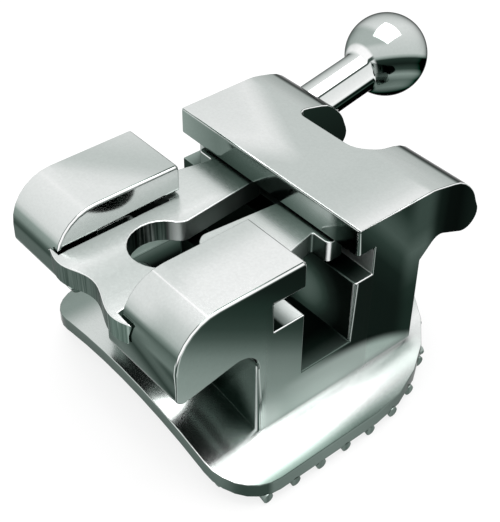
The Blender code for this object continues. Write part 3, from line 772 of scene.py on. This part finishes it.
def body_painted_steel():
    """Mirror-polished steel outside with its reflections painted on, duller in the channels and darkened
    there with painted shade.
    """
    painter = PaintedSteel("body_steel", roughness=0.12, waviness=0.25)
    face = painter.face

    on_noses = painter.both(painter.mask(face["Y"], -1.0, -1.1), painter.mask(face["Tilt"], 1.0, 6.0))
    colour = painter.over(wing_tops(painter), rounded_noses(painter), on_noses)
    # Painted reflections on the gingival lobes' backs, dark where they turn away from the top.
    backs = painter.tone(face["Tilt"], [
        (-180, 26), (-110, 36), (-85, 60), (-62, 30), (-28, 26), (-22, 52), (-17, 190), (-12, 206),
        (0, 204),
    ])
    on_backs = painter.both(painter.mask(face["Y"], 0.95, 1.15), painter.mask(face["Tilt"], 0.0, -6.0))
    colour = painter.over(colour, backs, on_backs)
    on_fronts = painter.both(painter.mask(face["Tilt"], 82.0, 88.0), painter.mask(face["Y"], -0.35, -0.45))
    colour = painter.over(colour, occlusal_fronts(painter), on_fronts)
    # Painted shade on faces that turn downwards.
    below = painter.tone(face["Tilt"], [(88, 142), (112, 146), (119, 30), (124, 8), (165, 12), (180, 26)])
    colour = painter.over(colour, below, painter.mask(face["Tilt"], 91.0, 95.0))

    in_slot = painter.both(
        painter.mask(face["Z"], 1.72, 1.69), painter.band(face["Y"], -0.72, -0.62, 0.48, 0.5),
    )
    in_valley = painter.both(
        painter.mask(face["Z"], 1.52, 1.49), painter.band(face["X"], -0.44, -0.40, 0.40, 0.44),
    )
    valley_floor = painter.both(
        in_valley, painter.mask(face["Y"], -1.3, -1.2), painter.mask(face["Up"], 0.5, 0.8),
    )
    in_channel = painter.math("MAXIMUM", in_slot, valley_floor)
    colour = painter.over(colour, hidden_channels(painter), in_channel)
    painter.roughen(in_channel, 0.42)
    painter.glow(channel_glow(painter, in_valley))

    # Painted shade: a dark line along the top edge of the valley's distal wall.
    at_brink = painter.both(
        painter.band(face["X"], -0.29, -0.282, -0.252, -0.245),
        painter.band(face["Z"], 1.39, 1.40, 1.43, 1.44),
        painter.mask(face["Mesial"], 0.05, 0.15),
    )
    colour = painter.over(colour, painter.plain(40), at_brink)
    # Painted reflections on the slot's gingival wall, pale in the middle and dark towards the mesial end.
    slot_wall = painter.tone(face["X"], [
        (-1.16, 150), (-0.95, 135), (-0.65, 115), (-0.3, 128), (0.0, 132), (0.3, 160), (0.65, 190),
        (0.8, 185), (0.9, 90), (1.1, 42),
    ])
    on_slot_wall = painter.both(
        painter.mask(face["Tilt"], 60.0, 80.0), painter.mask(face["Y"], 0.24, 0.27),
        painter.mask(face["Z"], 1.66, 1.69),
    )
    colour = painter.over(colour, slot_wall, on_slot_wall)
    colour = edge_lines(painter, colour)

    # Painted shade and reflection on the upright inner walls: dark low in the slot, light higher up, and
    # dark in the lobes' notch.
    inner_wall = painter.tone(face["Z"], [(1.66, 30), (1.70, 60), (1.72, 212), (1.97, 226)])
    notch_wall = painter.tone(face["Z"], [(1.3, 20), (1.97, 36)])
    inner = painter.over(inner_wall, notch_wall, painter.mask(face["Y"], 0.9, 1.0))
    side = mesial_side(painter)
    facing_mesial = painter.over(inner, side, painter.mask(face["X"], 1.05, 1.09))
    colour = painter.over(colour, facing_mesial, painter.mask(face["Mesial"], 0.90, 0.99))
    facing_distal = painter.over(inner, side, painter.mask(face["X"], -1.05, -1.09))
    return painter.done(painter.over(colour, facing_distal, painter.mask(face["Mesial"], -0.80, -0.95)))


HOOK_ROOT = np.array([-0.7925, 1.665, 1.6716]) * MM
HOOK_TILT = math.radians(11.1)
HOOK_LINE = np.array([0.0, math.cos(HOOK_TILT), math.sin(HOOK_TILT)])
BORE_REACH = 0.236 * MM
LOBES_START = 1.0 * MM


def weld_over_bore(bm):
    """Closes the hook's bore at the lobe's surface, as the weld around the post does."""
    root, along = Vector(HOOK_ROOT), Vector(HOOK_LINE)

    def in_bore(vertex):
        return (vertex.co - root).cross(along).length < BORE_REACH and vertex.co.y > LOBES_START

    bore = [face for face in bm.faces if all(in_bore(vertex) for vertex in face.verts)]
    bmesh.ops.delete(bm, geom=bore, context="FACES")
    bmesh.ops.holes_fill(bm, edges=[edge for edge in bm.edges if edge.is_boundary], sides=0)


LOBE_MIDDLE = np.array([0.0, 1.35, 1.50]) * MM
LOBE_INNER = 0.345 * MM
LOBE_OUTER = 0.43 * MM
DISTAL_SETBACK = 0.06 * MM
# The swell in millimetres at each turn in degrees above the gingival direction.
SWELL_TURN = (4.0, 12.0, 25.0, 36.0, 47.5, 60.0, 72.0, 84.0)
SWELL = (0.0, 0.008, 0.026, 0.028, 0.019, 0.008, 0.002, 0.0)
FOOT_TOP = 0.50 * MM
FOOT_SINK = 0.022 * MM


def lies_on_lobe(point):
    """Whether a point is in the upper, gingival part of the body, where the lobes are."""
    return point.y > 1.3 * MM and point.z > 1.4 * MM


def fuller_lobes(bm):
    """The gingival lobes' backs, cut by planes through their middle and swelled to one smooth round;
    the body's foot is sunk a little into the pad's braze."""
    weld_over_bore(bm)
    for degrees in range(4, 86, 6):
        turn = math.radians(degrees)
        near = [face for face in bm.faces if lies_on_lobe(face.calc_center_median())]
        edges = list({edge for face in near for edge in face.edges})
        corners = list({vertex for face in near for vertex in face.verts})
        bmesh.ops.bisect_plane(
            bm, geom=near + edges + corners, dist=0.0001 * MM, plane_co=LOBE_MIDDLE,
            plane_no=(0.0, -math.sin(turn), math.cos(turn)),
        )
    for vertex in bm.verts:
        if vertex.co.z < FOOT_TOP:
            vertex.co.z -= FOOT_SINK
        setback = DISTAL_SETBACK if vertex.co.x < 0.0 else 0.0
        y, z = vertex.co.y - LOBE_MIDDLE[1] + setback, vertex.co.z - LOBE_MIDDLE[2]
        turn = math.degrees(math.atan2(z, y))
        if SWELL_TURN[0] < turn < SWELL_TURN[-1] and LOBE_INNER < math.hypot(y, z) < LOBE_OUTER:
            swell = np.interp(turn, SWELL_TURN, SWELL) * MM
            vertex.co.y += swell * math.cos(math.radians(turn))
            vertex.co.z += swell * math.sin(math.radians(turn))


# Places of the edges in millimetres.
SIDE_START = 1.154
GAP_WALL = -0.458
LEG_FACE = -0.745
SLOT_WALL = (0.2, 0.35)
WINGS_END = -0.285
WINGS_START = 1.5
NOSE_MIDDLE = (-1.126, 1.548)
NOSE_REACH = 0.38


def broad_edges(middle, direction):
    """The broadly rounded edges: on the mesial side upright at the leg's occlusal face and at the
    slot's gingival wall, and less around both occlusal wings' tops and noses."""
    x, y, z = middle
    if direction[0] > 0.001 or (x < SIDE_START and abs(x - GAP_WALL) > 0.006):
        return 0.0
    if x > 0.0 and direction[2] > 0.2 and direction[1] < 0.02:
        if abs(y - LEG_FACE) < 0.02:
            return 1.0
        if SLOT_WALL[0] < y < SLOT_WALL[1]:
            return 0.75
    off_nose = math.hypot(y - NOSE_MIDDLE[0], z - NOSE_MIDDLE[1])
    return 0.58 if y < WINGS_END and z > WINGS_START and off_nose > NOSE_REACH else 0.0


body = merged_copy("bracket_body", "cast_body", fuller_lobes)
soften_edges(body, width=0.014 * MM, segments=4, broad=broad_edges, broad_width=0.045 * MM)
body.data.materials.append(body_painted_steel())
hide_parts("bracket_body")
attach(body, "bracket")

# Ball hook
# A turned pin, seated in the distal lobe and welded: a plain post and a ball, both mirror polished.

POST_RADIUS = 0.205 * MM
POST_START = -0.16 * MM
BALL_RADIUS = 0.41 * MM
BALL_CENTRE = 0.897 * MM
NECK_FLARE = 0.018 * MM
PIN_SIDES = 96


def turned_pin():
    """A profile of radius against length, carried once around the pin's axis: a plain post, a short
    flare that widens by a square, and the ball's circle."""
    meet = math.asin(POST_RADIUS / BALL_RADIUS)
    sweep = np.linspace(meet - math.pi / 2 + 0.03, math.pi / 2 - 0.004, 60)
    ball_radius, ball_height = BALL_RADIUS * np.cos(sweep), BALL_CENTRE + BALL_RADIUS * np.sin(sweep)
    post = np.linspace(POST_START, BALL_CENTRE - BALL_RADIUS * math.cos(meet) - NECK_FLARE, 24)
    flare = np.linspace(0.0, 1.0, 6)[1:-1]
    flare_radius = POST_RADIUS + (ball_radius[0] - POST_RADIUS) * flare**2
    flare_height = post[-1] + (ball_height[0] - post[-1]) * flare
    radius = np.concatenate([np.full_like(post, POST_RADIUS), flare_radius, ball_radius])
    height = np.concatenate([post, flare_height, ball_height])
    around = np.linspace(0.0, math.tau, PIN_SIDES, endpoint=False)
    across = np.array([1.0, 0.0, 0.0])
    up = np.cross(across, HOOK_LINE)
    spoke = np.cos(around)[:, None] * across + np.sin(around)[:, None] * up
    ring = HOOK_ROOT + height[:, None, None] * HOOK_LINE + radius[:, None, None] * spoke
    rows = len(radius)
    step = np.arange(rows - 1)[:, None] * PIN_SIDES
    k = np.arange(PIN_SIDES)[None, :]
    after = (k + 1) % PIN_SIDES
    corners = [step + k, step + PIN_SIDES + k, step + PIN_SIDES + after, step + after]
    quads = np.stack(corners, axis=2).reshape(-1, 4)
    caps = [list(range(PIN_SIDES)), list(range((rows - 1) * PIN_SIDES, rows * PIN_SIDES))]
    return new_piece("hook_pin", ring.reshape(-1, 3), quads.tolist() + caps)


def hook_painted_steel():
    """Mirror polish with its reflections painted on: stripes along the post by the way it faces, and on
    the ball a painted highlight on the upper side over a dark band."""
    painter = PaintedSteel("hook_steel", roughness=0.06, waviness=0.12, rim=0.2)
    face = painter.face
    around = painter.sum((0.728, face["Mesial"]), (-0.131, face["Occlusal"]), (-0.671, face["Up"]))
    post = painter.tone(around, [
        (-1.0, 90), (-0.96, 200), (-0.8, 212), (-0.6, 230), (-0.45, 250), (-0.15, 254), (-0.125, 80),
        (-0.07, 70), (-0.04, 224), (0.2, 230), (0.5, 240), (0.58, 225), (0.62, 40), (0.70, 18),
        (0.75, 70), (0.80, 18), (0.86, 62), (0.93, 34), (1.0, 20),
    ])
    ball = painter.tone(face["Sky"], [
        (-1.0, 30), (-0.86, 120), (-0.74, 98), (-0.62, 140), (-0.52, 60), (-0.40, 30), (-0.28, 48),
        (-0.24, 150), (-0.18, 196), (0.1, 205), (0.5, 220), (0.85, 205), (1.0, 200),
    ])
    # A painted dark rim round the ball's outline.
    turned_away = painter.nodes.new("ShaderNodeLayerWeight")
    turned_away.inputs["Blend"].default_value = 0.5
    rim = painter.tone(face["Sky"], [(-1.0, 30), (0.2, 60), (0.6, 110), (1.0, 120)])
    ball = painter.over(ball, rim, painter.mask(turned_away.outputs["Facing"], 0.70, 0.90))
    # A paler painted reflection on the ball's lower side next to the neck.
    above_neck = painter.both(painter.mask(face["Y"], 2.37, 2.30), painter.mask(face["Sky"], 0.0, 0.15))
    ball = painter.over(ball, painter.plain(176), above_neck)
    return painter.done(painter.over(post, ball, painter.mask(face["Y"], 2.19, 2.21)))


hook = turned_pin()
hook.data.materials.append(hook_painted_steel())
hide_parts("ball_hook")
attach(hook, "bracket")

# Sliding clip
# Sheet clip, photo-etched from spring steel and slid into the guides from the occlusal side. Its walls
# carry fine upright streaks of painted reflection, seen in the keyhole and along the scalloped tail.


def clip_painted_steel():
    """A lightly brushed top with painted reflections by place, and dark walls of streaked painted
    reflection in the keyhole and along the tail.
    """
    painter = PaintedSteel("clip_steel", roughness=0.22, waviness=0.2)
    face = painter.face
    # Painted reflections on the top, by place.
    distal = painter.tone(face["X"], [
        (-0.8, 210), (-0.45, 217), (-0.3, 222), (-0.21, 232), (-0.1, 214), (0.05, 205),
    ])
    mesial = painter.tone(face["X"], [
        (0.0, 205), (0.25, 208), (0.35, 216), (0.45, 226), (0.6, 234), (0.8, 236),
    ])
    top = painter.over(distal, mesial, painter.mask(face["X"], 0.0, 0.15))
    # The top darkens towards the head with a painted reflection of the gingival wing's wall.
    near_head = painter.tone(face["Y"], [
        (-0.2, 212), (0.0, 205), (0.1, 186), (0.2, 160), (0.3, 128), (0.42, 120),
    ])
    top = painter.over(top, near_head, painter.mask(face["Y"], -0.15, 0.12))
    # Painted reflections in upright streaks on the walls of the tail and the keyhole.
    tail = painter.streaks(26.0, [(0.30, 60), (0.42, 92), (0.52, 110), (0.60, 84), (0.68, 150)])
    keyhole = painter.streaks(20.0, [
        (0.34, 20), (0.44, 60), (0.50, 96), (0.55, 60), (0.62, 172), (0.70, 60),
    ])
    # Painted reflections on the arms' walls, darker towards the head.
    arms = painter.tone(face["Y"], [
        (-0.62, 220), (-0.5, 200), (-0.2, 185), (0.1, 160), (0.24, 120), (0.42, 110),
    ])
    wall = painter.over(keyhole, arms, painter.mask(face["Y"], -0.62, -0.5))
    wall = painter.over(wall, tail, painter.mask(face["Y"], -1.2, -1.3))
    # A painted highlight down the head's rounded mesial corner.
    corner = painter.tone(face["Occlusal"], [
        (-0.2, 60), (0.1, 92), (0.25, 120), (0.38, 240), (0.85, 245), (0.95, 110), (1.0, 90),
    ])
    at_corner = painter.both(
        painter.mask(face["X"], 0.76, 0.80), painter.mask(face["Y"], 0.2, 0.22),
        painter.mask(face["Mesial"], 0.05, 0.2),
    )
    wall = painter.over(wall, corner, at_corner)
    # A painted highlight along the rounded rims of the walls.
    rim = painter.tone(face["Up"], [(0.0, 110), (0.3, 170), (0.55, 245), (0.8, 240), (0.92, 215)])
    wall = painter.over(wall, rim, painter.mask(face["Up"], 0.12, 0.3))
    colour = painter.over(wall, top, painter.mask(face["Up"], 0.78, 0.97))
    painter.roughen(painter.mask(face["Up"], 0.5, 0.1), 0.4)
    # Painted light: emission on the walls of the mesial ear.
    ear = painter.both(
        painter.mask(face["X"], 0.38, 0.42), painter.mask(face["Y"], -1.2, -1.28),
        painter.mask(face["Up"], 0.6, 0.4),
    )
    painter.glow(painter.over(painter.plain(0), painter.plain(66), ear))
    # Faces that turn downwards are painted a plain mid grey in place of their reflections.
    return painter.done(painter.over(colour, painter.plain(120), painter.mask(face["Up"], -0.55, -0.9)))


clip = merged_copy("sliding_clip", "spring_clip", sliver=0.0105 * MM)
soften_edges(clip, width=0.011 * MM, segments=3)
clip.data.materials.append(clip_painted_steel())
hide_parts("sliding_clip")
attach(clip, "clip")

# Stage
# Plain pale floor under the base, even studio light with one window-shaped lamp, and the camera at
# the photograph's viewing angle.


FLOOR_REACH = 0.5
FLOOR_PAINT = 0.86
FLOOR_GLOW = 1.04
GLOW_SHARE = 0.76


def pale_floor():
    """White to the camera and to the steel, with the object's shadow kept from its diffuse part."""
    mesh = bpy.data.meshes.new("floor")
    corners = [(x * FLOOR_REACH, y * FLOOR_REACH, 0) for x, y in ((-1, -1), (1, -1), (1, 1), (-1, 1))]
    mesh.from_pydata(corners, [], [(0, 1, 2, 3)])
    floor = bpy.data.objects.new("floor", mesh)
    bpy.context.scene.collection.objects.link(floor)
    material = bpy.data.materials.new("pale_floor")
    material.use_nodes = True
    nodes, links = material.node_tree.nodes, material.node_tree.links
    nodes.remove(nodes["Principled BSDF"])
    seen = nodes.new("ShaderNodeLightPath")
    reflected = nodes.new("ShaderNodeMath")
    reflected.operation = "MAXIMUM"
    links.new(seen.outputs["Is Glossy Ray"], reflected.inputs[0])
    links.new(seen.outputs["Is Transmission Ray"], reflected.inputs[1])
    shown = nodes.new("ShaderNodeMath")
    shown.operation = "MAXIMUM"
    links.new(seen.outputs["Is Camera Ray"], shown.inputs[0])
    links.new(reflected.outputs["Value"], shown.inputs[1])
    paint = nodes.new("ShaderNodeBsdfDiffuse")
    paint.inputs["Color"].default_value = (FLOOR_PAINT, FLOOR_PAINT, FLOOR_PAINT, 1.0)
    glow = nodes.new("ShaderNodeEmission")
    glow.inputs["Color"].default_value = (1.0, 1.0, 1.0, 1.0)
    glow.inputs["Strength"].default_value = FLOOR_GLOW
    share = nodes.new("ShaderNodeMath")
    share.operation = "MULTIPLY"
    share.inputs[1].default_value = GLOW_SHARE
    links.new(shown.outputs["Value"], share.inputs[0])
    blend = nodes.new("ShaderNodeMixShader")
    links.new(share.outputs["Value"], blend.inputs["Fac"])
    links.new(paint.outputs["BSDF"], blend.inputs[1])
    links.new(glow.outputs["Emission"], blend.inputs[2])
    links.new(blend.outputs["Shader"], nodes["Material Output"].inputs["Surface"])
    mesh.materials.append(material)


def window_lamp(name, place, toward, turn, width, height, strength):
    """A rectangular softbox that faces the given point, turned about its own axis."""
    light = bpy.data.lights.new(name, "AREA")
    light.shape = "RECTANGLE"
    light.size = width
    light.size_y = height
    light.energy = strength
    lamp = bpy.data.objects.new(name, light)
    bpy.context.scene.collection.objects.link(lamp)
    lamp.location = place
    facing = (Vector(toward) - Vector(place)).to_track_quat("-Z", "Y")
    lamp.rotation_euler = (facing @ Quaternion((0.0, 0.0, 1.0), turn)).to_euler()


def even_world():
    """Even white all round, as in a light tent."""
    world = bpy.data.worlds.new("light_tent")
    bpy.context.scene.world = world
    world.use_nodes = True
    background = world.node_tree.nodes["Background"]
    background.inputs["Color"].default_value = (1.0, 1.0, 1.0, 1.0)
    background.inputs["Strength"].default_value = 1.0


pale_floor()
even_world()
window_lamp(
    "window", place=(-0.0020, 0.0022, 0.0300), toward=(-0.0008, 0.0025, 0.0018), turn=math.radians(80.0),
    width=0.027, height=0.027, strength=0.0064,
)

view = bpy.data.cameras.new("camera")
view.sensor_width = 36.0
view.lens = 76.94
view.clip_start = 0.5 * MM
view.clip_end = 10.0
camera = bpy.data.objects.new("camera", view)
bpy.context.scene.collection.objects.link(camera)
camera.location = (5.755 * MM, -4.775 * MM, 7.4886 * MM)
camera.rotation_euler = (math.radians(49.310), math.radians(-0.460), math.radians(49.955))
bpy.context.scene.camera = camera
bpy.context.scene.view_settings.view_transform = "Standard"
